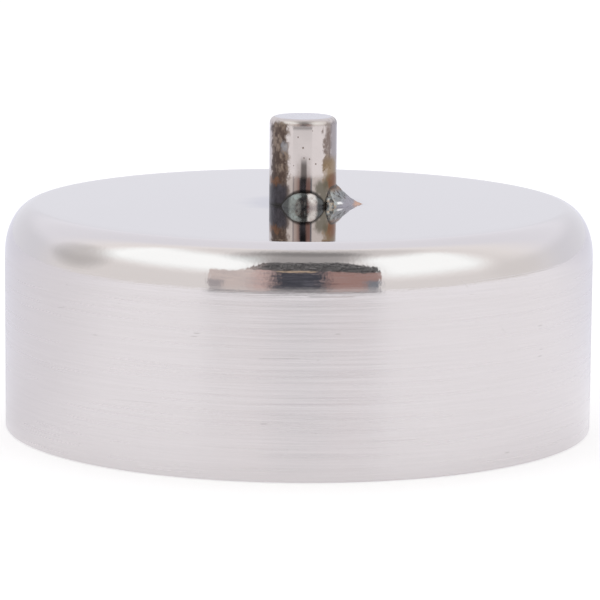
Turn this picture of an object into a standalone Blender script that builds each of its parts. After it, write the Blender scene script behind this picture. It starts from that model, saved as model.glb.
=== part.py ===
"""Bell of a water-seal steam trap: a drawn stainless cup, mouth down, with a round lifting pin welded on top.

Run it with blender --background --python part.py, or from the text editor.
Metres, +Z up. The origin is the centre of the rim's plane, so the bell stands on z = 0, and the pin points up.
"""

from math import cos, exp, pi, radians, sin

import bmesh
import bpy

# The drawn cup
CUP_DIAMETER = 0.105
CUP_HEIGHT = 0.040
SHOULDER_WIDTH = 0.0056  # from the edge of the flat crown out to the skirt
SHOULDER_DROP = 0.0087  # from the crown down to where the skirt is straight
SHEET_THICKNESS = 0.0012
RIM_EDGE_RADIUS = 0.0003  # the trimmed rim is only deburred

# The lifting pin, a length of round bar
PIN_DIAMETER = 0.012
PIN_LENGTH = 0.0156
PIN_TOP_RADIUS = 0.0012
PIN_OFFSET = 0.0006  # set down by eye, a little to the right of the cup's axis

# Neighbouring solids stand this far apart where the real ones touch or are fused
TOUCH_GAP = 0.0003

# The weld deposits at the pin's foot. Angles are degrees round +Z from +X, and -90 faces the front.
# rise is the leg up the pin, reach the leg along the crown. A fullness of 2 is a round, proud bead,
# 1 a flat one, and less than 1 a hollow one that washes out thin. An end_shape of 2 swells as a
# parabola does from tip to tip, and a larger one has blunter ends.
WELDS = {
    "weld_front": dict(centre=-88, half_span=37, rise=0.0030, reach=0.0012, fullness=2.2, end_shape=2.2),
    "weld_right": dict(centre=-6, half_span=43, rise=0.0035, reach=0.0023, fullness=0.8, end_shape=3.5),
    "weld_back": dict(centre=90, half_span=40, rise=0.0030, reach=0.0020, fullness=1.6, end_shape=2.5),
}
# The right-hand deposit drew out into a pointed spur along the crown as the torch pulled away.
# spread is the angle in which the point falls to about a third.
SPUR = dict(weld="weld_right", angle=-6, spread=12, length=0.0025)

# Facets
TURNED_STEPS = 96  # a multiple of 4, so that vertices lie on the X and Y axes
PIN_STEPS = 48
ARC_STEPS = 12
WELD_SECTIONS = 24
WELD_CURVE_STEPS = 9

STAINLESS = (0.72, 0.71, 0.70)
TINTED_STAINLESS = (0.52, 0.47, 0.42)
WELD_GREY = (0.36, 0.37, 0.37)


def clear_scene():
    for obj in list(bpy.data.objects):
        bpy.data.objects.remove(obj)


def make_collection(name):
    collection = bpy.data.collections.new(name)
    bpy.context.scene.collection.children.link(collection)
    return collection


def metal(name, colour, roughness):
    material = bpy.data.materials.new(name)
    material.use_nodes = True
    shader = material.node_tree.nodes["Principled BSDF"]
    shader.inputs["Base Color"].default_value = (*colour, 1)
    shader.inputs["Metallic"].default_value = 1
    shader.inputs["Roughness"].default_value = roughness
    return material


def rounded_corner(width, drop, right, top, steps=ARC_STEPS):
    """Points (x, z) over a quarter of an ellipse, from the top line down to the right-hand line."""
    turns = (pi / 2 * i / steps for i in range(steps + 1))
    return [(right - width + width * sin(a), top - drop + drop * cos(a)) for a in turns]


def add_object(collection, name, mesh, material):
    mesh.materials.append(material)
    obj = bpy.data.objects.new(name, mesh)
    collection.objects.link(obj)
    return obj


def turned(collection, name, profile, steps, material):
    """A profile of (x, z) points, running down its outer side, turned about the object's own Z axis."""
    mesh = bpy.data.meshes.new(name)
    edges = [(i, i + 1) for i in range(len(profile) - 1)]
    mesh.from_pydata([(x, 0, z) for x, z in profile], edges, [])
    obj = add_object(collection, name, mesh, material)
    screw = obj.modifiers.new("Turn", "SCREW")
    screw.axis = "Z"
    screw.angle = 2 * pi
    screw.steps = screw.render_steps = steps
    screw.use_merge_vertices = True
    screw.merge_threshold = 0.00001
    screw.use_smooth_shade = True
    return obj


def bell_cup(collection):
    """The cup: a flat crown, a rounded shoulder and a straight skirt, all one sheet of even thickness."""
    radius = CUP_DIAMETER / 2
    shoulder = rounded_corner(SHOULDER_WIDTH, SHOULDER_DROP, radius, CUP_HEIGHT)
    profile = [(0, CUP_HEIGHT), *shoulder, (radius, 0)]
    cup = turned(collection, "bell_cup", profile, TURNED_STEPS, metal("polished_stainless", STAINLESS, 0.2))

    sheet = cup.modifiers.new("Sheet", "SOLIDIFY")
    sheet.thickness = SHEET_THICKNESS
    sheet.offset = -1
    sheet.use_even_offset = True

    deburr = cup.modifiers.new("Deburr", "BEVEL")
    deburr.limit_method = "ANGLE"
    deburr.angle_limit = radians(60)
    deburr.width = RIM_EDGE_RADIUS
    deburr.segments = 2
    return cup


def lift_pin(collection, material):
    """The pin stands on the crown. Its own origin is the centre of its foot."""
    radius = PIN_DIAMETER / 2
    edge = min(PIN_TOP_RADIUS, radius)
    profile = [
        (0, PIN_LENGTH),
        *rounded_corner(edge, edge, radius, PIN_LENGTH),
        (radius, TOUCH_GAP),
        (0, TOUCH_GAP),
    ]
    pin = turned(collection, "lift_pin", profile, PIN_STEPS, material)
    pin.location = (PIN_OFFSET, 0, CUP_HEIGHT)
    return pin


def weld_section(rise, reach, fullness):
    """The deposit's cross-section, as (out from the pin, up from the crown) points round a closed outline.

    The face is the superellipse (out / reach) ** fullness + (up / rise) ** fullness = 1.
    """
    face = []
    for i in range(WELD_CURVE_STEPS + 1):
        turn = pi / 2 * i / WELD_CURVE_STEPS
        face.append((reach * cos(turn) ** (2 / fullness), rise * sin(turn) ** (2 / fullness)))
    return [(0, 0), *face]


def spur_length(name, angle):
    """How much further the deposit reaches at this angle because of the spur."""
    if name != SPUR["weld"]:
        return 0
    return SPUR["length"] * exp(-abs(angle - SPUR["angle"]) / SPUR["spread"])


def weld_deposit(collection, name, centre, half_span, rise, reach, fullness, end_shape, material):
    """A weld deposit lofted round the pin's foot: its section swells from a point, and shrinks to one again."""
    root_radius = PIN_DIAMETER / 2 + TOUCH_GAP
    bm = bmesh.new()

    def point(angle, out, up):
        turn = radians(angle)
        distance = root_radius + out
        return bm.verts.new((distance * cos(turn), distance * sin(turn), TOUCH_GAP + up))

    rings = []
    for i in range(1, WELD_SECTIONS):
        along = 2 * i / WELD_SECTIONS - 1
        swell = 1 - abs(along) ** end_shape
        angle = centre + half_span * along
        section = weld_section(rise * swell, (reach + spur_length(name, angle)) * swell, fullness)
        rings.append([point(angle, out, up) for out, up in section])

    for near, far in zip(rings, rings[1:]):
        for i in range(len(near)):
            j = (i + 1) % len(near)
            bm.faces.new((near[i], near[j], far[j], far[i]))
    for ring, angle in ((rings[0], centre - half_span), (rings[-1], centre + half_span)):
        tip = point(angle, 0, 0)
        for i in range(len(ring)):
            bm.faces.new((ring[i], ring[(i + 1) % len(ring)], tip))
    bmesh.ops.recalc_face_normals(bm, faces=bm.faces)

    mesh = bpy.data.meshes.new(name)
    bm.to_mesh(mesh)
    bm.free()
    mesh.shade_smooth()
    mesh.set_sharp_from_angle(angle=radians(40))
    deposit = add_object(collection, name, mesh, material)
    deposit.location = (PIN_OFFSET, 0, CUP_HEIGHT)
    return deposit


def build():
    clear_scene()
    bell = make_collection("steam_trap_bell")
    bell_cup(bell)
    lift_pin(bell, metal("tinted_stainless", TINTED_STAINLESS, 0.25))
    weld_metal = metal("weld_metal", WELD_GREY, 0.4)
    for name, size in WELDS.items():
        weld_deposit(bell, name, material=weld_metal, **size)


build()
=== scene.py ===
"""Finishes the bell of a water-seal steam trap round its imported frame.

The bell is a drawn stainless cup that stands mouth down, with a polished crown and shoulder and a brushed skirt.
A short lifting pin stands on the crown, tinted by the heat of the three weld deposits round its foot.
"""

from math import atan2, cos, exp, hypot, pi, radians, sin

import bmesh
import bpy
from bpy.props import FloatProperty, FloatVectorProperty, IntProperty, PointerProperty
from mathutils import Matrix, Vector, noise


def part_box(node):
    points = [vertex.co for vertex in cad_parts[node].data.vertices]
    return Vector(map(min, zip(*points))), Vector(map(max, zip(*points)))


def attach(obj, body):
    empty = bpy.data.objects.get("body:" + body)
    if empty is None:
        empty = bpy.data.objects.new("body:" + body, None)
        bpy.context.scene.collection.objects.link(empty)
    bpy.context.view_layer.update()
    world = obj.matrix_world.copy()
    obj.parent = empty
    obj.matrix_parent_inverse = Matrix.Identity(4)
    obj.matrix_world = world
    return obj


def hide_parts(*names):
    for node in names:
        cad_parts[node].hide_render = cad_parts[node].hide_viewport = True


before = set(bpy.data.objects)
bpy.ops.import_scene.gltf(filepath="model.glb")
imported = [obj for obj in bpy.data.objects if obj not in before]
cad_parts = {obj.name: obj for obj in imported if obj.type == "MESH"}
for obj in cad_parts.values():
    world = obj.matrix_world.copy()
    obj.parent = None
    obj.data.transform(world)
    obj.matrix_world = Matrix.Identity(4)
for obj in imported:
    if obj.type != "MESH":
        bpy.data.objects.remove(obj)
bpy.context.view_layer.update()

bl_info = {
    "name": "Steam Trap Bell",
    "version": (1, 0, 0),
    "blender": (4, 5, 0),
    "location": "3D View > Sidebar > Steam Trap",
    "description": "Models and finishes the bell of a steam trap",
    "category": "Object",
}

BODY = "root"
CUP_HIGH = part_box("bell_cup")[1]
PIN_LOW, PIN_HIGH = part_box("lift_pin")


# Settings


def length(name, description, default):
    return FloatProperty(name=name, description=description, default=default, min=0, unit="LENGTH", precision=5)


def bearing(name, description, degrees):
    return FloatProperty(name=name, description=description, default=radians(degrees), subtype="ANGLE")


def colour(name, description, default):
    return FloatVectorProperty(name=name, description=description, default=default, min=0, max=1, subtype="COLOR")


def share(name, description, default, top=1.0):
    return FloatProperty(name=name, description=description, default=default, min=0, max=top)


class CupSettings(bpy.types.PropertyGroup):
    """Sizes and finish of the drawn cup."""

    radius: length("Radius", "Outside radius of the skirt", CUP_HIGH.x)
    height: length("Height", "From the rim to the top of the crown", CUP_HIGH.z)
    shoulder_width: length("Shoulder width", "From the edge of the flat crown out to the skirt", 0.0056)
    shoulder_drop: length("Shoulder drop", "From the crown down to where the skirt is straight", 0.0087)
    sheet: length("Sheet", "Thickness of the sheet", 0.0012)
    rim_edge: length("Rim edge", "Rounding of the trimmed rim", 0.0003)
    polish_end: length("Polish end", "Height on the skirt where the polish gives way to brushing", 0.0318)
    steel: colour("Steel", "Colour of clean stainless steel", (0.675, 0.640, 0.635))
    crown_roughness: share("Crown roughness", "Roughness of the mirror-polished crown", 0.03)
    shoulder_roughness: share("Shoulder roughness", "Roughness of the buffed shoulder", 0.07)
    skirt_roughness: share("Skirt roughness", "Roughness of the brushed skirt", 0.25)
    inside_roughness: share("Inside roughness", "Roughness of the unpolished inside", 0.42)


class PinSettings(bpy.types.PropertyGroup):
    """Sizes and finish of the lifting pin."""

    radius: length("Radius", "Radius of the round bar", (PIN_HIGH.x - PIN_LOW.x) / 2)
    offset: length("Offset", "How far the pin stands to the right of the cup's axis", (PIN_HIGH.x + PIN_LOW.x) / 2)
    top: length("Top", "Height of the pin's end above the rim", PIN_HIGH.z)
    top_edge: length("Top edge", "Rounding of the pin's top edge", 0.0012)
    steel: colour("Steel", "Colour of the bare bar", (0.60, 0.545, 0.52))
    scorch: colour("Scorch", "Colour of the scorched strips", (0.085, 0.060, 0.050))
    blueing: colour("Blueing", "Colour of the blued foot", (0.085, 0.080, 0.092))
    gold: colour("Gold", "Colour of the gold heat tint", (0.26, 0.185, 0.11))
    roughness: share("Roughness", "Roughness of the drawn bar", 0.07)


class BeadSettings:
    """Shape of one weld deposit at the pin's foot. Bearings turn from the front, positive towards the right."""

    sections: IntProperty(name="Sections", description="Sections along the deposit", default=96, min=8)


class FrontBeadSettings(BeadSettings, bpy.types.PropertyGroup):
    """The proud round deposit at the front."""

    centre: bearing("Centre", "Bearing of the deposit's middle", 2)
    half_span: bearing("Half span", "From the middle to each tip", 41)
    rise: length("Rise", "Leg up the pin", 0.0027)
    reach: length("Reach", "Leg along the crown", 0.0012)
    fullness: share("Fullness", "2 is a round face, 1 a flat one, less a hollow one", 2.2, 4)
    end_shape: share("End shape", "2 swells as a parabola, more has blunter ends", 2.3, 12)
    spur: length("Spur", "How far a drawn-out spur adds to the reach", 0.0)
    waves: length("Waves", "Height of the frozen waves on the face", 0.00018)


class RightBeadSettings(BeadSettings, bpy.types.PropertyGroup):
    """The hollow deposit at the right, drawn out into a spur."""

    centre: bearing("Centre", "Bearing of the deposit's middle", 84)
    half_span: bearing("Half span", "From the middle to each tip", 43)
    rise: length("Rise", "Leg up the pin", 0.0035)
    reach: length("Reach", "Leg along the crown", 0.0023)
    fullness: share("Fullness", "2 is a round face, 1 a flat one, less a hollow one", 0.86, 4)
    end_shape: share("End shape", "2 swells as a parabola, more has blunter ends", 8.0, 12)
    spur: length("Spur", "How far the drawn-out spur adds to the reach", 0.0025)
    waves: length("Waves", "Height of the frozen waves on the face", 0.00022)


class BackBeadSettings(BeadSettings, bpy.types.PropertyGroup):
    """The deposit behind the pin."""

    centre: bearing("Centre", "Bearing of the deposit's middle", 180)
    half_span: bearing("Half span", "From the middle to each tip", 40)
    rise: length("Rise", "Leg up the pin", 0.0030)
    reach: length("Reach", "Leg along the crown", 0.0020)
    fullness: share("Fullness", "2 is a round face, 1 a flat one, less a hollow one", 1.6, 4)
    end_shape: share("End shape", "2 swells as a parabola, more has blunter ends", 2.5, 12)
    spur: length("Spur", "How far a drawn-out spur adds to the reach", 0.0)
    waves: length("Waves", "Height of the frozen waves on the face", 0.00014)


class WeldSettings(bpy.types.PropertyGroup):
    """Finish of the weld metal."""

    front: PointerProperty(type=FrontBeadSettings)
    right: PointerProperty(type=RightBeadSettings)
    back: PointerProperty(type=BackBeadSettings)
    sink: length("Sink", "How deep the deposits run into the pin and the crown", 0.0003)
    spur_spread: bearing("Spur spread", "Angle in which a spur falls to about a third", 12)
    metal: colour("Metal", "Colour of the weld metal", (0.30, 0.31, 0.31))
    copper: colour("Copper", "Colour of the heat-tinted spur", (0.56, 0.36, 0.27))
    roughness: share("Roughness", "Roughness of the weld metal", 0.26)


class StageSettings(bpy.types.PropertyGroup):
    """Camera, floor and light tent."""

    distance: length("Distance", "From the camera to the middle of the bell's axis", 0.7046)
    pitch: bearing("Pitch", "How far the camera looks down", 9.52)
    roll: bearing("Roll", "Turn of the camera about its own axis", 0.447)
    across: FloatProperty(name="Across", description="Shift of the picture sideways", default=0.0026)
    upward: FloatProperty(name="Upward", description="Shift of the picture upwards", default=0.0219)
    lens: FloatProperty(name="Lens", description="Focal length in millimetres", default=235.5, min=1,
                        unit="CAMERA")
    floor_radius: length("Floor radius", "Radius of the round floor", 6.0)
    floor: colour("Floor", "Colour of the floor", (0.64, 0.63, 0.63))
    floor_glow: share("Floor glow", "Light that the translucent floor passes from below", 0.50)
    opening: bearing("Opening", "Half width of the tent's opening, seen from the bell", 34.8)


class BellSettings(bpy.types.PropertyGroup):
    """All the bell's settings."""

    cup: PointerProperty(type=CupSettings)
    pin: PointerProperty(type=PinSettings)
    weld: PointerProperty(type=WeldSettings)
    stage: PointerProperty(type=StageSettings)


# Shared modelling


MERGE = 0.000002  # vertices closer than this are one


def outline(bm, corners, longest):
    """Edges in the XZ plane through corners of (out, up, width, drop, segments), with the long runs divided.

    width and drop are the half axes of the corner's rounding.
    """
    verts = [bm.verts.new((corner[0], 0, corner[1])) for corner in corners]
    for pair in zip(verts, verts[1:]):
        bm.edges.new(pair)
    for vert, (_, up, width, drop, segments) in zip(verts, corners):
        if segments:
            rounded = bmesh.ops.bevel(bm, geom=[vert], offset=width, offset_type="OFFSET", segments=segments,
                                      profile=0.5, affect="VERTICES", material=-1)
            bmesh.ops.scale(bm, verts=rounded["verts"], vec=(1, 1, drop / width),
                            space=Matrix.Translation((0, 0, -up)))
    for edge in list(bm.edges):
        cuts = int(edge.calc_length() / longest)
        if cuts:
            bmesh.ops.subdivide_edges(bm, edges=[edge], cuts=cuts)


def turn_round(bm, steps):
    """Spins everything a full turn about Z, and closes it on the axis."""
    bmesh.ops.spin(bm, geom=bm.verts[:] + bm.edges[:], cent=(0, 0, 0), axis=(0, 0, 1), angle=2 * pi,
                   steps=steps, use_merge=True)
    bmesh.ops.remove_doubles(bm, verts=bm.verts, dist=MERGE)
    bmesh.ops.recalc_face_normals(bm, faces=bm.faces)


def finished_piece(bm, name, material, node, sharp=35):
    """Makes the mesh an object that rides on the bell in place of its CAD node."""
    mesh = bpy.data.meshes.new(name)
    bm.to_mesh(mesh)
    bm.free()
    mesh.shade_smooth()
    mesh.set_sharp_from_angle(angle=radians(sharp))
    mesh.materials.append(material)
    piece = bpy.data.objects.new(name, mesh)
    bpy.context.scene.collection.objects.link(piece)
    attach(piece, BODY)
    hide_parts(node)
    return piece


# Shared shading


class Nodes:
    """Adds nodes to a tree. Inputs are values or other nodes' sockets."""

    def __init__(self, tree):
        self.tree = tree

    def add(self, kind, inputs, **settings):
        made = self.tree.nodes.new(kind)
        for name, value in settings.items():
            setattr(made, name, value)
        for key, value in inputs.items():
            if isinstance(value, bpy.types.NodeSocket):
                self.tree.links.new(value, made.inputs[key])
            else:
                made.inputs[key].default_value = value
        return made

    def math(self, operation, *values):
        return self.add("ShaderNodeMath", dict(enumerate(values)), operation=operation).outputs[0]

    def times(self, first, *others):
        for other in others:
            first = self.math("MULTIPLY", first, other)
        return first

    def most(self, first, *others):
        for other in others:
            first = self.math("MAXIMUM", first, other)
        return first

    def ramp(self, value, start, end, low=0.0, high=1.0):
        """low at start, high at end, and a smooth change between them."""
        inputs = {"Value": value, "From Min": start, "From Max": end, "To Min": low, "To Max": high}
        return self.add("ShaderNodeMapRange", inputs, interpolation_type="SMOOTHSTEP").outputs["Result"]

    def band(self, value, middle, half_width, soft):
        """1 within half_width of the middle, falling to 0 over the soft distance outside it."""
        away = self.math("ABSOLUTE", self.math("SUBTRACT", value, middle))
        return self.ramp(away, half_width + soft, half_width)

    def turned_band(self, angle, middle, half_width, soft):
        """The same for an angle, with all the sizes in degrees."""
        return self.band(angle, radians(middle), radians(half_width), radians(soft))

    def cells(self, place, stretch, shift):
        return self.add("ShaderNodeMapping", {"Vector": place, "Location": shift, "Scale": stretch}).outputs[0]

    def noise_at(self, place, stretch, detail=2.0, roughness=0.5, shift=(0, 0, 0)):
        """Noise with this many cells a metre along X, Y and Z, from 0 to 1."""
        inputs = {"Vector": self.cells(place, stretch, shift), "Scale": 1, "Detail": detail,
                  "Roughness": roughness}
        return self.add("ShaderNodeTexNoise", inputs).outputs[0]

    def blend(self, amount, low, high):
        """The number low where amount is 0 and high where it is 1."""
        return self.add("ShaderNodeMix", {0: amount, 2: low, 3: high}, data_type="FLOAT").outputs[0]

    def tint(self, amount, low, high):
        """The colour low where amount is 0 and high where it is 1."""
        inputs = {0: amount}
        for key, value in ((6, low), (7, high)):
            inputs[key] = value if isinstance(value, bpy.types.NodeSocket) else (*value, 1)
        return self.add("ShaderNodeMix", inputs, data_type="RGBA").outputs[2]


class Finish(Nodes):
    """A material, metal unless told otherwise. Its places count from an upright axis this far to the right."""

    def __init__(self, name, axis=0.0):
        self.material = bpy.data.materials.new(name)
        self.material.use_nodes = True
        super().__init__(self.material.node_tree)
        self.shader = self.tree.nodes["Principled BSDF"]
        self.shader.inputs["Metallic"].default_value = 1
        place = self.add("ShaderNodeTexCoord", {}).outputs["Object"]
        self.place = self.cells(place, (1, 1, 1), (-axis, 0, 0))
        x, y, self.z = self.add("ShaderNodeSeparateXYZ", {"Vector": self.place}).outputs
        self.out = self.math("SQRT", self.math("MULTIPLY_ADD", x, x, self.math("MULTIPLY", y, y)))
        self.bearing = self.math("ARCTAN2", x, self.math("MULTIPLY", y, -1))

    def noise(self, stretch, **settings):
        return self.noise_at(self.place, stretch, **settings)

    def specks(self, stretch, size, kept, shift=(0, 0, 0)):
        """Small spots. size is their radius in cells, and kept is the share of cells that may hold one."""
        cells = self.add("ShaderNodeTexVoronoi", {"Vector": self.cells(self.place, stretch, shift), "Scale": 1})
        chance = self.add("ShaderNodeSeparateColor", {"Color": cells.outputs["Color"]}).outputs[0]
        return self.math("MULTIPLY", self.ramp(cells.outputs["Distance"], size, size / 2),
                         self.math("LESS_THAN", chance, kept))

    def bump(self, height, distance, below=None):
        """Raises the surface by height times distance, on top of another bump."""
        inputs = {"Height": height, "Distance": distance, "Strength": 1}
        if below:
            inputs["Normal"] = below
        return self.add("ShaderNodeBump", inputs).outputs[0]

    def set(self, **inputs):
        """Sets the shader's inputs, named with underscores for spaces."""
        for name, value in inputs.items():
            socket = self.shader.inputs[name.replace("_", " ").title()]
            if isinstance(value, bpy.types.NodeSocket):
                self.tree.links.new(value, socket)
            else:
                socket.default_value = value


def scaled(shade, factor):
    return tuple(min(1, channel * factor) for channel in shade)


# The cup


GRIME = (0.20, 0.18, 0.17)
# A darker lavender tint on the crown round the pin
CROWN_RING_TINT = (0.42, 0.41, 0.48)
# Listed marks: bearings in degrees and heights in millimetres from end to end, and depth as a share
SCRATCHES = (
    (33, 59, 32.9, 33.2, 0.35),
    (1, 11, 31.6, 31.5, 0.6),
    (-44.6, -43.0, 36.0, 37.2, 0.4),
    (-43.9, -42.4, 36.0, 37.2, 0.3),
    (31, 33, 33.6, 31.9, 0.5),
    (41, 42, 24.5, 23.4, 0.5),
    (-38, -26, 12.0, 12.4, 0.25),
    (12, 24, 7.0, 6.8, 0.25),
    (-8, 1, 21.0, 21.2, 0.25),
    (-52, -49, 26.0, 26.6, 0.4),
)


def cup_mesh(s):
    """The cup's closed outline: crown, shoulder, skirt, rim and the inside back to the axis."""
    bm = bmesh.new()
    inner = s.radius - s.sheet
    ceiling = s.height - s.sheet
    corners = (
        (0, s.height, 0, 0, 0),
        (s.radius, s.height, s.shoulder_width, s.shoulder_drop, 32),
        (s.radius, 0, s.rim_edge, s.rim_edge, 5),
        (inner, 0, s.rim_edge, s.rim_edge, 5),
        (inner, ceiling, s.shoulder_width - s.sheet, s.shoulder_drop - s.sheet, 20),
        (0, ceiling, 0, 0, 0),
    )
    outline(bm, corners, longest=0.0025)
    turn_round(bm, steps=240)
    return bm


def inner_side(t, s):
    """1 on the inner side of the sheet, told from the ellipse that runs halfway through its shoulder."""
    half = s.sheet / 2
    across = t.math("MAXIMUM", t.math("SUBTRACT", t.out, s.radius - s.shoulder_width), 0)
    above = t.math("MAXIMUM", t.math("SUBTRACT", t.z, s.height - s.shoulder_drop), 0)
    across = t.math("DIVIDE", across, s.shoulder_width - half)
    above = t.math("DIVIDE", above, s.shoulder_drop - half)
    return t.math("LESS_THAN", t.math("MULTIPLY_ADD", across, across, t.math("MULTIPLY", above, above)), 1)


def scratches(t, width):
    """All the listed scratches as one mask."""
    total = 0
    for start, end, low, high, depth in SCRATCHES:
        ends = {"From Min": radians(start), "From Max": radians(end), "To Min": low / 1000, "To Max": high / 1000}
        line = t.add("ShaderNodeMapRange", {"Value": t.bearing, **ends}).outputs["Result"]
        away = t.math("ABSOLUTE", t.math("SUBTRACT", t.z, line))
        along = t.turned_band(t.bearing, (start + end) / 2, (end - start) * 0.3, (end - start) * 0.2)
        total = t.math("MULTIPLY_ADD", t.ramp(away, width, 0, 0, depth), along, total)
    return total


def cup_finish(s, pin_axis):
    """Mirror crown, buffed shoulder with a faint orange peel, and a skirt brushed round and round."""
    t = Finish("polished_stainless")
    ragged = t.noise((90, 90, 2600), detail=3, shift=(2, 2, 2))
    edge = t.math("MULTIPLY_ADD", ragged, 0.0024, t.z)
    skirt = t.ramp(edge, s.polish_end + 0.0020, s.polish_end - 0.0004)
    crown = t.math("MULTIPLY", t.ramp(t.out, s.radius - s.shoulder_width + 0.0006, s.radius - s.shoulder_width),
                   t.math("GREATER_THAN", t.z, s.height - s.sheet / 2))
    inside = inner_side(t, s)

    brushing = t.noise((60, 60, 3600), detail=4, roughness=0.6)
    coarse = t.noise((28, 28, 1500), detail=2, shift=(3, 1, 7))
    cloud = t.noise((35, 35, 50), detail=2, shift=(5, 2, 0))
    pits = t.specks((420, 420, 420), 0.045, 0.40)
    dashes = t.specks((170, 170, 900), 0.14, 0.12, shift=(4, 8, 2))
    marks = t.times(t.most(pits, t.times(dashes, 0.4)), skirt)
    scored = scratches(t, 0.00009)

    combed = t.ramp(t.z, s.polish_end + 0.0034, s.polish_end - 0.0008)
    streaks = t.times(combed, t.ramp(brushing, 0.35, 0.68, 0.0, 1.0))
    steel = t.tint(cloud, scaled(s.steel, 0.985), scaled(s.steel, 1.015))
    steel = t.tint(t.times(streaks, 0.1), steel, scaled(s.steel, 0.72))
    steel = t.tint(t.times(t.most(marks, scored), 0.5), steel, GRIME)
    # Darker lavender tint on the crown round the pin
    steel = t.tint(ring_round_pin(t, s, pin_axis), steel, CROWN_RING_TINT)
    t.set(base_color=steel)

    rough = t.blend(crown, s.shoulder_roughness, s.crown_roughness)
    rough = t.blend(skirt, rough, t.ramp(coarse, 0.3, 0.7, s.skirt_roughness - 0.03, s.skirt_roughness + 0.03))
    rough = t.blend(inside, rough, s.inside_roughness)
    t.set(roughness=rough, anisotropic=0.6, anisotropic_rotation=0.25)
    t.set(tangent=t.add("ShaderNodeTangent", {}, direction_type="RADIAL", axis="Z").outputs[0])

    peel = t.noise((1500, 1500, 1500), detail=1)
    buffed = t.math("SUBTRACT", 1, t.most(crown, skirt))
    normal = t.bump(t.times(peel, buffed), 0.000008)
    normal = t.bump(t.times(brushing, combed), 0.000012, normal)
    normal = t.bump(t.times(coarse, skirt), 0.000012, normal)
    normal = t.bump(t.times(t.most(marks, scored), -1), 0.00002, normal)
    t.set(normal=normal)
    return t.material


def ring_round_pin(t, s, pin_axis):
    """How far the crown is tinted a darker lavender round the pin, above and below."""
    from_pin = t.add("ShaderNodeVectorMath", {0: t.place, 1: (pin_axis, 0, s.height)}, operation="DISTANCE")
    wobble = t.math("MULTIPLY_ADD", t.noise((250, 250, 250), shift=(1, 4, 0)), 0.003, from_pin.outputs["Value"])
    near = t.ramp(wobble, 0.0140, 0.0085, 0.0, 0.6)
    return t.times(near, t.math("GREATER_THAN", t.z, s.height - s.sheet * 2))


class STEAM_TRAP_OT_cup(bpy.types.Operator):
    """Model the drawn cup and give it its polished and brushed finish"""

    bl_idname = "steam_trap.cup"
    bl_label = "Drawn Cup"

    def execute(self, context):
        s = context.scene.steam_trap
        finish = cup_finish(s.cup, s.pin.offset)
        finished_piece(cup_mesh(s.cup), "drawn_cup", finish, "bell_cup")
        return {"FINISHED"}


# The pin


# Heat tints and stains of the bar, besides those in its settings, and the two dark tints of a painted reflection
# on its front
BROWN_BEHIND = (0.26, 0.19, 0.145)
# Painted reflection: a dark smudge and its darker core on the front of the bar
PAINTED_REFLECTION_SMUDGE = (0.19, 0.145, 0.125)
PAINTED_REFLECTION_CORE = (0.06, 0.05, 0.045)
LEFT_BROWN = (0.21, 0.155, 0.115)
RIGHT_BROWN = (0.21, 0.165, 0.145)
RIGHT_GREY = (0.26, 0.235, 0.245)
ORANGE = (0.24, 0.115, 0.065)
OLIVE = (0.16, 0.15, 0.115)
PALE_BLUE = (0.36, 0.37, 0.39)
RUST = (0.20, 0.10, 0.055)
BURNT_EDGE = (0.05, 0.048, 0.046)
PIT_BROWN = (0.16, 0.11, 0.09)
END_FACE = (0.62, 0.595, 0.63)
TURNING_PITCH = 0.0009  # between the tool marks on the end face
# Small pits in the bar: bearing in degrees, height above the crown and radius in millimetres
PIN_PITS = (
    (-8.6, 12.5, 0.16),
    (0, 10.6, 0.20),
    (1.7, 8.8, 0.15),
    (11, 8.6, 0.17),
    (22, 7.7, 0.17),
    (-27, 5.9, 0.14),
    (16, 13.6, 0.10),
    (-16, 7.4, 0.10),
)


def pin_mesh(s, crown):
    """A length of round bar with a rounded top edge, standing on the crown."""
    bm = bmesh.new()
    foot = crown + 0.00002  # clear of the crown by a hair, so that the two faces don't fight
    corners = (
        (0, s.top, 0, 0, 0),
        (s.radius, s.top, s.top_edge, s.top_edge, 12),
        (s.radius, foot, 0, 0, 0),
        (0, foot, 0, 0, 0),
    )
    outline(bm, corners, longest=0.0008)
    turn_round(bm, steps=96)
    bmesh.ops.translate(bm, verts=bm.verts, vec=(s.offset, 0, 0))
    return bm


def pits_in(t, up, radius):
    """All the pin's pits as one mask."""
    total = 0
    for around, above, size in PIN_PITS:
        aside = t.math("MULTIPLY", t.math("SUBTRACT", t.bearing, radians(around)), radius)
        away = t.math("SUBTRACT", up, above / 1000)
        square = t.math("MULTIPLY_ADD", aside, aside, t.math("MULTIPLY", away, away))
        edge = size / 1000
        total = t.most(t.ramp(t.math("SQRT", square), edge, edge / 2.2), total)
    return total


def above_bead(t, up, bead):
    """Height above the upper edge of a deposit, or above the crown where there is none."""
    away = t.math("ABSOLUTE", t.math("SUBTRACT", t.bearing, bead.centre))
    swell = t.math("SUBTRACT", 1, t.math("POWER", t.math("DIVIDE", away, bead.half_span), bead.end_shape))
    return t.math("SUBTRACT", up, t.times(t.math("MAXIMUM", swell, 0), bead.rise))


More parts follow.
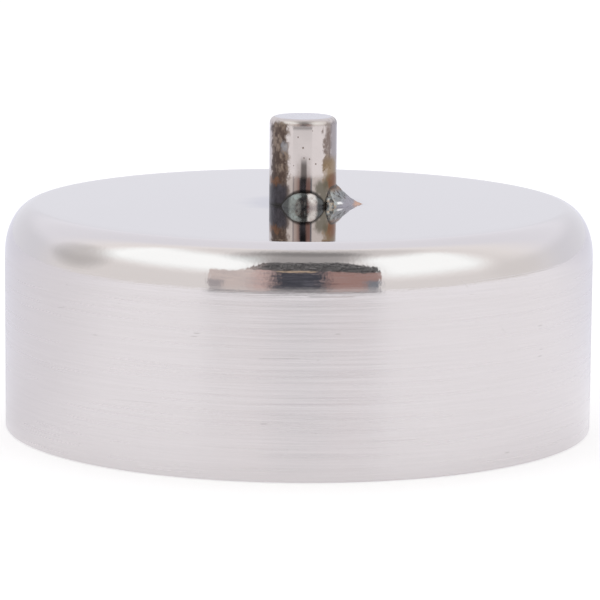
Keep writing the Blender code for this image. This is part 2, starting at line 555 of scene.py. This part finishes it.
def pin_finish(s, crown, front):
    """Drawn bar, scorched in strips at its left and right, gold over the right-hand weld and blued at the foot,
    with a dark painted reflection on its front.

    Bands round the bar are given as bearings in degrees: the middle, half the width and how far they fade. Heights
    are metres above the crown. turn and climb are the bearing and the height with a ragged stray added.
    """
    t = Finish("tinted_stainless", s.offset)
    up = t.math("SUBTRACT", t.z, crown)
    mottle = t.noise((800, 800, 560), detail=3, roughness=0.62)
    patch = t.noise((300, 300, 260), detail=2, shift=(2, 6, 1))
    stray = t.math("SUBTRACT", mottle, 0.5)
    turn = t.math("MULTIPLY_ADD", stray, 0.55, t.bearing)
    climb = t.math("MULTIPLY_ADD", stray, 0.0035, up)
    shaft = t.ramp(climb, 0.0150, 0.0142)

    steel = t.tint(t.times(t.ramp(patch, 0.35, 0.65), 0.3), s.steel, scaled(s.steel, 0.86))
    behind = t.turned_band(turn, 180, 62, 40)
    steel = t.tint(t.times(behind, shaft, t.ramp(mottle, 0.35, 0.62, 0.15, 0.75)), steel, BROWN_BEHIND)

    # Painted reflection: two dark tints on the front of the bar stand in for the reflection of the tent's dark
    # opening
    reflection_smudge = t.times(t.turned_band(t.bearing, 1, 7, 10), t.ramp(climb, 0.0100, 0.0058))
    steel = t.tint(t.times(reflection_smudge, 0.5), steel, PAINTED_REFLECTION_SMUDGE)
    reflection_core = t.times(t.turned_band(t.bearing, 1.5, 3, 4), t.band(up, 0.0064, 0.0009, 0.0022))
    steel = t.tint(t.times(reflection_core, 0.8), steel, PAINTED_REFLECTION_CORE)

    left = t.times(t.turned_band(turn, -48, 16, 9), shaft)
    steel = t.tint(t.times(left, 0.9), steel, LEFT_BROWN)
    steel = t.tint(t.times(left, t.ramp(mottle, 0.34, 0.54), t.ramp(patch, 0.30, 0.45, 0.6, 1.0), 0.95), steel,
                   s.scorch)
    right = t.times(t.turned_band(turn, 48, 7, 7), shaft, t.ramp(climb, 0.0062, 0.0085))
    steel = t.tint(t.times(right, t.ramp(mottle, 0.36, 0.58, 0.65, 1.0)), steel, RIGHT_BROWN)
    edge = t.times(t.turned_band(t.bearing, 72, 14, 8), t.ramp(climb, 0.0155, 0.0148), t.ramp(up, 0.0068, 0.0085))
    steel = t.tint(t.times(edge, 0.75), steel, RIGHT_GREY)

    gold = t.times(t.turned_band(turn, 58, 14, 12), t.ramp(climb, 0.0100, 0.0075), t.ramp(up, 0.0022, 0.0040))
    steel = t.tint(t.times(gold, 0.92), steel, s.gold)
    orange = t.times(t.turned_band(turn, 70, 14, 14), t.ramp(climb, 0.0062, 0.0046))
    steel = t.tint(t.times(orange, 0.92), steel, ORANGE)
    olive = t.times(t.turned_band(turn, 36, 7, 10), t.ramp(climb, 0.0052, 0.0040))
    steel = t.tint(t.times(olive, 0.85), steel, OLIVE)
    blue = t.times(t.turned_band(turn, -35, 2, 7), t.band(climb, 0.0106, 0.0005, 0.0011))
    steel = t.tint(t.times(blue, 0.55), steel, PALE_BLUE)

    scorched = t.times(t.math("SUBTRACT", 1, t.turned_band(t.bearing, 34, 52, 16)), t.ramp(climb, 0.0046, 0.0030))
    rim = t.times(t.turned_band(t.bearing, -62, 12, 14), t.band(climb, 0.0044, 0.0003, 0.0006))
    steel = t.tint(t.times(rim, 0.8), steel, RUST)
    steel = t.tint(scorched, steel, t.tint(t.ramp(mottle, 0.35, 0.6), s.blueing, scaled(s.blueing, 0.65)))
    steel = t.tint(t.times(t.ramp(above_bead(t, up, front), 0.0007, 0.0002), 0.9), steel, BURNT_EDGE)

    pits = pits_in(t, up, s.radius)
    steel = t.tint(t.times(pits, 0.8), steel, PIT_BROWN)
    end = t.math("GREATER_THAN", t.z, s.top - 0.00004)
    steel = t.tint(end, steel, END_FACE)
    t.set(base_color=steel)

    dark = t.most(left, right, scorched)
    rounding = t.times(t.ramp(up, 0.0139, 0.0147), t.math("SUBTRACT", 1, end))
    rough = t.math("MULTIPLY_ADD", rounding, 0.22, t.math("MULTIPLY_ADD", dark, 0.18, s.roughness))
    t.set(roughness=t.math("MULTIPLY_ADD", end, 0.12, rough))
    grain = t.noise((1800, 1800, 260), detail=2, shift=(7, 0, 0))
    rings = t.math("SINE", t.times(t.out, 2 * pi / TURNING_PITCH))
    normal = t.bump(grain, 0.000002)
    normal = t.bump(t.times(dark, mottle), 0.00004, normal)
    normal = t.bump(t.times(pits, -1), 0.00005, normal)
    normal = t.bump(t.times(rings, end), 0.000004, normal)
    t.set(normal=normal)
    return t.material


class STEAM_TRAP_OT_pin(bpy.types.Operator):
    """Model the lifting pin and tint it with the heat of the welds"""

    bl_idname = "steam_trap.pin"
    bl_label = "Lifting Pin"

    def execute(self, context):
        s = context.scene.steam_trap
        crown = s.cup.height
        finished_piece(pin_mesh(s.pin, crown), "pin_bar", pin_finish(s.pin, crown, s.weld.front), "lift_pin")
        return {"FINISHED"}


# The weld deposits


FACE_STEPS = 22
RIPPLE_FADE = 0.0005  # from a toe in to where the waves have their full height
# Colours of the weld metal, besides those in its settings
GLASS_DARK = (0.11, 0.115, 0.115)
# Painted highlights on the front deposit: a greenish one at its left and a pale one at its right
GREEN_HIGHLIGHT = (0.26, 0.28, 0.27)
PALE_HIGHLIGHT = (0.55, 0.50, 0.48)
SCALE_SPECK = (0.07, 0.055, 0.05)
THIN_BROWN = (0.26, 0.15, 0.09)
LAVENDER = (0.33, 0.31, 0.34)
SPATTER = (0.62, 0.52, 0.42)
# Painted highlight: a bright streak on the toe of the right deposit
HIGHLIGHT_STREAK = (0.97, 0.97, 0.97)
TOE_LINE = (0.05, 0.047, 0.047)


def bead_outline(bm, bead, foot, crown, sink):
    """The deposit's closed cross-section at its fullest, in the XZ plane."""
    power = 2 / bead.fullness
    face = []
    for i in range(FACE_STEPS + 1):
        turn = pi / 2 * i / FACE_STEPS
        face.append((bead.reach * cos(turn) ** power, bead.rise * sin(turn) ** power))
    points = [(-sink, -sink), (bead.reach, -sink), *face, (-sink, bead.rise)]
    verts = [bm.verts.new((foot + out, 0, crown + up)) for out, up in points]
    for i, vert in enumerate(verts):
        bm.edges.new((vert, verts[(i + 1) % len(verts)]))


def bead_mesh(bead, weld, foot, crown):
    """Spins the cross-section round the pin's foot, then swells it from one tip and down to the other."""
    bm = bmesh.new()
    bead_outline(bm, bead, foot, crown, weld.sink)
    start = bead.centre - bead.half_span - pi / 2
    bmesh.ops.rotate(bm, verts=bm.verts, cent=(0, 0, 0), matrix=Matrix.Rotation(start, 3, "Z"))
    bmesh.ops.spin(bm, geom=bm.verts[:] + bm.edges[:], cent=(0, 0, 0), axis=(0, 0, 1),
                   angle=2 * bead.half_span, steps=bead.sections)
    for vert in bm.verts:
        turn = atan2(vert.co.x, -vert.co.y)
        away = (turn - bead.centre + pi) % (2 * pi) - pi
        swell = max(0, 1 - abs(away / bead.half_span) ** bead.end_shape)
        drawn = 1 + bead.spur / bead.reach * exp(-abs(away) / weld.spur_spread)
        out = hypot(vert.co.x, vert.co.y) - foot
        up = vert.co.z - crown
        if out > 0:
            out *= swell * drawn
        if up > 0:
            up *= swell
        vert.co = (sin(turn) * (foot + out), -cos(turn) * (foot + out), crown + up)
    bmesh.ops.remove_doubles(bm, verts=bm.verts, dist=MERGE)
    bmesh.ops.holes_fill(bm, edges=[e for e in bm.edges if e.is_boundary])
    bmesh.ops.recalc_face_normals(bm, faces=bm.faces)
    ripple(bm, bead, foot, crown)
    return bm


def ripple(bm, bead, foot, crown):
    """Freezes uneven waves into the face of a deposit, fading out at its toes."""
    bm.normal_update()
    moved = []
    for vert in bm.verts:
        out = hypot(vert.co.x, vert.co.y) - foot
        up = vert.co.z - crown
        inner = max(0, min(1, min(out, up) / RIPPLE_FADE))
        wave = noise.noise(vert.co * 700) + 0.4 * noise.noise(vert.co * 1800)
        moved.append(vert.co + vert.normal * wave * bead.waves * inner)
    for vert, place in zip(bm.verts, moved):
        vert.co = place


def weld_finish(s, foot, crown, axis):
    """Glassy grey weld metal, speckled with scale, brown where it thins out, and copper at the spur's tip, with
    painted highlights on the front deposit and a painted highlight streak on the right one.
    """
    t = Finish("weld_metal", axis)
    up = t.math("SUBTRACT", t.z, crown)
    scale = t.noise((1500, 1500, 1500), detail=3, roughness=0.65)
    cloud = t.noise((500, 500, 500), detail=2, shift=(3, 3, 3))
    others = t.ramp(t.math("ABSOLUTE", t.bearing), radians(36), radians(44))  # all but the front deposit
    metal = t.tint(t.ramp(cloud, 0.3, 0.7), scaled(s.metal, 0.75), scaled(s.metal, 1.2))
    # The front deposit is dark, with painted highlights at its left and right
    dark_with_highlights = t.tint(t.turned_band(t.bearing, -12, 5, 7), GLASS_DARK, GREEN_HIGHLIGHT)
    dark_with_highlights = t.tint(t.turned_band(t.bearing, 14, 4, 6), dark_with_highlights, PALE_HIGHLIGHT)
    metal = t.tint(others, dark_with_highlights, metal)
    grime = t.times(others, t.ramp(scale, 0.52, 0.61))
    metal = t.tint(t.times(grime, 0.75), metal, SCALE_SPECK)
    brown = t.times(others, t.ramp(up, 0.0021, 0.0032))
    metal = t.tint(t.times(brown, 0.8), metal, THIN_BROWN)
    toe = t.times(t.turned_band(t.bearing, 90, 34, 14), t.ramp(t.out, foot + 0.0013, foot + 0.0024))
    metal = t.tint(t.times(toe, 0.85), metal, LAVENDER)
    seam = t.times(t.turned_band(t.bearing, 43, 4, 6), t.ramp(up, 0.0026, 0.0018), t.ramp(scale, 0.47, 0.57))
    metal = t.tint(t.times(seam, 0.8), metal, SPATTER)
    # Painted highlight streak on the toe of the right deposit
    highlight_streak = t.times(t.turned_band(t.bearing, 57, 2, 4), t.band(up, 0.0006, 0.0001, 0.0002))
    metal = t.tint(t.times(highlight_streak, 0.8), metal, HIGHLIGHT_STREAK)
    toe_line = t.ramp(t.math("SUBTRACT", t.out, foot), 0.0004, 0.0001)
    metal = t.tint(t.times(toe_line, 0.75), metal, TOE_LINE)
    tip = t.times(t.ramp(t.out, foot + 0.0030, foot + 0.0037), t.turned_band(t.bearing, 84, 20, 12))
    metal = t.tint(tip, metal, s.copper)
    t.set(base_color=metal)
    t.set(roughness=t.ramp(scale, 0.3, 0.7, s.roughness - 0.06, s.roughness + 0.12))
    normal = t.bump(t.times(scale, others), 0.00003)
    t.set(normal=t.bump(cloud, 0.00008, normal))
    return t.material


class STEAM_TRAP_OT_welds(bpy.types.Operator):
    """Model the three weld deposits round the pin's foot"""

    bl_idname = "steam_trap.welds"
    bl_label = "Weld Deposits"

    def execute(self, context):
        s = context.scene.steam_trap
        crown, foot, axis = s.cup.height, s.pin.radius, s.pin.offset
        material = weld_finish(s.weld, foot, crown, axis)
        for side in ("front", "right", "back"):
            bm = bead_mesh(getattr(s.weld, side), s.weld, foot, crown)
            bmesh.ops.translate(bm, verts=bm.verts, vec=(axis, 0, 0))
            finished_piece(bm, f"{side}_bead", material, f"weld_{side}", sharp=60)
        return {"FINISHED"}


# The stage


FLOOR_GAP = 0.0001  # under the rim
# Light from the floor as the metal mirrors it: in front and to the right, to the left, and behind
GLOW_FRONT = (0.525, 0.53, 0.56)
GLOW_LEFT = (0.37, 0.37, 0.405)
GLOW_BEHIND = (0.23, 0.24, 0.32)
DIM_FLOOR = (0.10, 0.095, 0.10)
DIM_GLOW = (0.02, 0.02, 0.02)


def floor_finish(s):
    """Plain pale floor. In reflections it is a little bluer behind, and dim beyond its front edge."""
    t = Finish("pale_floor")
    seen = t.add("ShaderNodeLightPath", {}).outputs["Is Camera Ray"]
    reflected = t.math("SUBTRACT", 1, seen)
    glow = t.tint(t.ramp(t.bearing, radians(-55), radians(-100)), GLOW_FRONT, GLOW_LEFT)
    glow = t.tint(t.ramp(t.math("ABSOLUTE", t.bearing), radians(95), radians(160)), glow, GLOW_BEHIND)
    glow = t.tint(seen, glow, (s.floor_glow,) * 3)
    front = t.turned_band(t.bearing, -1.8, 31, 3)
    dim = t.times(t.ramp(t.out, 0.34, 0.75, 0.0, 0.7), front, reflected)
    t.set(base_color=t.tint(dim, s.floor, DIM_FLOOR), metallic=0, roughness=0.9)
    t.set(emission_color=t.tint(dim, glow, DIM_GLOW), emission_strength=1)
    t.shader.inputs["Specular IOR Level"].default_value = 0  # a name that set() can't spell
    return t.material


def make_floor(s):
    """A round floor just under the rim."""
    bm = bmesh.new()
    bmesh.ops.create_circle(bm, cap_ends=True, radius=s.floor_radius, segments=96)
    bmesh.ops.translate(bm, verts=bm.verts, vec=(0, 0, -FLOOR_GAP))
    mesh = bpy.data.meshes.new("floor")
    bm.to_mesh(mesh)
    bm.free()
    mesh.materials.append(floor_finish(s))
    floor = bpy.data.objects.new("floor", mesh)
    bpy.context.scene.collection.objects.link(floor)


def make_camera(s):
    """Stands in front of the bell, looking down a little at the middle of its cup."""
    camera = bpy.data.objects.new("camera", bpy.data.cameras.new("camera"))
    bpy.context.scene.collection.objects.link(camera)
    middle = Vector((0, 0, CUP_HIGH.z / 2))
    back = Vector((0, -cos(s.pitch), sin(s.pitch)))
    turned = (-back).to_track_quat("-Z", "Y").to_matrix() @ Matrix.Rotation(s.roll, 3, "Z")
    camera.matrix_world = Matrix.LocRotScale(middle + back * s.distance, turned, None)
    camera.data.lens = s.lens
    camera.data.sensor_width = 36
    camera.data.shift_x = s.across
    camera.data.shift_y = s.upward
    camera.data.clip_start = 0.01
    camera.data.clip_end = 20
    bpy.context.scene.camera = camera


# Soft lights on the tent's walls. All are degrees: bearing from the front, height, half width and half height of
# the even middle, and how far it fades. The last number is the brightness added.
SOFT_LIGHTS = (
    (-56, 44, 27, 8, 19, 0.45),
    (57, 38, 15, 10, 19, 0.44),
)
# Duller spots: bearing, height, radius of the even middle and of the whole in degrees, and the brightness lost
DULL_SPOTS = (
    (0, 63, 10, 25, 0.50),
    (15, 79, 4, 18, 0.18),
    (64, 68, 3, 16, 0.12),
    (-99, 20, 3, 20, 0.31),
    (94, 12, 3, 20, 0.06),
)


# Walls of the tent in front and behind, and how the lights tint them
FRONT_WALL = (0.985, 0.965, 0.955)
BACK_WALL = (0.885, 0.895, 0.955)
LAMP_TINT = (0.955, 1.0, 1.0)
WHITE = (1, 1, 1)
# The dim room beyond the opening
ROOM_FAR_LEFT = (0.84, 0.74, 0.70)
ROOM_LEFT = (0.74, 0.55, 0.51)
ROOM_RIGHT = (0.44, 0.27, 0.24)
ROOM_STREAK = (0.56, 0.53, 0.54)
LOW_LEFT = (0.50, 0.47, 0.48)
LOW_RIGHT = (0.27, 0.29, 0.33)
DEEPEST = (0.075, 0.08, 0.098)
WISP = (0.19, 0.19, 0.225)
GLINT = (0.70, 0.55, 0.40)
CLOTH = (0.045, 0.045, 0.048)
CLOTH_SPECK = (0.50, 0.50, 0.50)


def toward(bearing_degrees, height_degrees):
    """The direction with this bearing from the front and this height over the horizon."""
    around, above = radians(bearing_degrees), radians(height_degrees)
    return sin(around) * cos(above), -cos(around) * cos(above), sin(above)


def opening(n, s, turn, height):
    """The tent's open front: how far each direction lies in it, and the dim room beyond."""
    place = n.add("ShaderNodeCombineXYZ", {"X": turn, "Y": height}).outputs[0]
    fringe = n.noise_at(place, (70, 14, 1), detail=3, roughness=0.6)
    stray = n.math("SUBTRACT", fringe, 0.5)
    # The upper edge is frayed, highest in the middle and lowest at the left
    crest = n.math("SUBTRACT", n.ramp(turn, radians(-27), radians(-13), radians(31), radians(50)),
                   n.ramp(turn, radians(17), radians(39), 0, radians(15)))
    crest = n.math("MULTIPLY_ADD", stray, radians(9), crest)
    half = n.math("MULTIPLY_ADD", height, 0.1, s.opening - radians(2.5))
    inside = n.ramp(n.math("SUBTRACT", n.math("ABSOLUTE", n.math("ADD", turn, radians(1.8))), half),
                    radians(0.5), radians(-0.5))
    inside = n.times(inside, n.ramp(n.math("SUBTRACT", height, crest), radians(0.8), radians(-0.8)),
                     n.ramp(height, radians(-11), radians(9)))

    # The room is warm at both sides, greyer low down and darkest in the middle
    streak = n.noise_at(place, (5, 60, 1), detail=2, shift=(2, 3, 0))
    room = n.tint(n.ramp(turn, radians(-22), radians(-14)), ROOM_FAR_LEFT, ROOM_LEFT)
    room = n.tint(n.ramp(turn, radians(6), radians(12)), room, ROOM_RIGHT)
    room = n.tint(n.times(n.ramp(streak, 0.45, 0.6, 0, 0.6), n.ramp(turn, radians(8), radians(-16), 0.5, 1.0)),
                  room, ROOM_STREAK)
    low = n.ramp(height, radians(17), radians(12))
    room = n.tint(n.times(low, n.ramp(turn, radians(24), radians(28))), room, LOW_RIGHT)
    room = n.tint(n.times(low, n.ramp(turn, radians(-27), radians(-31))), room, LOW_LEFT)
    ragged = n.math("MULTIPLY_ADD", n.math("SUBTRACT", streak, 0.5), 0.4, turn)
    middle = n.ramp(n.math("ABSOLUTE", ragged), radians(13), radians(9))
    dark = n.tint(n.ramp(streak, 0.52, 0.66), DEEPEST, WISP)
    room = n.tint(middle, room, dark)
    glint = n.times(n.turned_band(height, 31.5, 0.8, 0.8), n.turned_band(turn, -1, 6, 4))
    room = n.tint(glint, room, GLINT)

    # A band of dark speckled cloth hangs under the upper edge
    under = n.ramp(turn, radians(4), radians(30), radians(33), radians(26))
    canopy = n.times(n.ramp(n.math("SUBTRACT", height, under), 0, radians(1.5)),
                     n.ramp(turn, radians(-24), radians(-13), 0.25, 1.0))
    specks = n.ramp(n.noise_at(place, (95, 22, 1), detail=2, shift=(5, 1, 0)), 0.50, 0.62, 0.0, 0.9)
    cloth = n.tint(specks, CLOTH, CLOTH_SPECK)
    room = n.tint(canopy, room, cloth)
    return inside, room


def make_tent(s):
    """A white tent all round, as the world's light. Cameras see plain white where they look past the floor."""
    world = bpy.data.worlds.new("light_tent")
    world.use_nodes = True
    bpy.context.scene.world = world
    n = Nodes(world.node_tree)
    direction = n.add("ShaderNodeTexCoord", {}).outputs["Generated"]
    x, y, z = n.add("ShaderNodeSeparateXYZ", {"Vector": direction}).outputs
    height = n.math("ARCSINE", z)
    turn = n.math("ARCTAN2", x, n.math("MULTIPLY", y, -1))

    lamps = 0
    for around, above, wide, high, soft, brightness in SOFT_LIGHTS:
        lamp = n.times(n.turned_band(turn, around, wide, soft), n.turned_band(height, above, high, soft))
        lamps = n.math("MULTIPLY_ADD", lamp, brightness, lamps)
    behind = n.times(n.ramp(n.math("ABSOLUTE", turn), radians(75), radians(110)),
                     n.ramp(height, radians(12), radians(25)), 0.14)
    light = n.math("ADD", n.math("ADD", 1, behind), lamps)
    for around, above, even, whole, loss in DULL_SPOTS:
        near = n.add("ShaderNodeVectorMath", {0: direction, 1: toward(around, above)}, operation="DOT_PRODUCT")
        spot = n.ramp(near.outputs["Value"], cos(radians(whole)), cos(radians(even)), 0.0, loss)
        light = n.math("SUBTRACT", light, spot)
    wall = n.tint(n.ramp(n.math("ABSOLUTE", turn), radians(95), radians(130)), FRONT_WALL, BACK_WALL)
    wall = n.tint(n.ramp(lamps, 0, 0.4), wall, LAMP_TINT)
    tent = n.add("ShaderNodeVectorMath", {0: wall, "Scale": light}, operation="SCALE").outputs[0]

    inside, room = opening(n, s, turn, height)
    lit = n.tint(inside, tent, room)
    seen = n.add("ShaderNodeLightPath", {}).outputs["Is Camera Ray"]
    n.tree.links.new(n.tint(seen, lit, WHITE), n.tree.nodes["Background"].inputs["Color"])


class STEAM_TRAP_OT_stage(bpy.types.Operator):
    """Set up the pale floor, the light tent and the camera"""

    bl_idname = "steam_trap.stage"
    bl_label = "Stage"

    def execute(self, context):
        s = context.scene.steam_trap.stage
        make_floor(s)
        make_tent(s)
        make_camera(s)
        context.scene.view_settings.view_transform = "Standard"
        return {"FINISHED"}


class STEAM_TRAP_PT_panel(bpy.types.Panel):
    """Lists what can be made"""

    bl_label = "Steam Trap Bell"
    bl_space_type = "VIEW_3D"
    bl_region_type = "UI"
    bl_category = "Steam Trap"

    def draw(self, context):
        for operator in OPERATORS:
            self.layout.operator(operator.bl_idname)


OPERATORS = (STEAM_TRAP_OT_stage, STEAM_TRAP_OT_cup, STEAM_TRAP_OT_pin, STEAM_TRAP_OT_welds)
SETTINGS = (CupSettings, PinSettings, FrontBeadSettings, RightBeadSettings, BackBeadSettings, WeldSettings,
            StageSettings, BellSettings)


def register():
    for kind in (*SETTINGS, *OPERATORS, STEAM_TRAP_PT_panel):
        bpy.utils.register_class(kind)
    bpy.types.Scene.steam_trap = PointerProperty(type=BellSettings)


def unregister():
    del bpy.types.Scene.steam_trap
    for kind in reversed((*SETTINGS, *OPERATORS, STEAM_TRAP_PT_panel)):
        bpy.utils.unregister_class(kind)


def main():
    register()
    bpy.ops.steam_trap.stage()
    bpy.ops.steam_trap.cup()
    bpy.ops.steam_trap.pin()
    bpy.ops.steam_trap.welds()


if __name__ == "__main__":
    main()
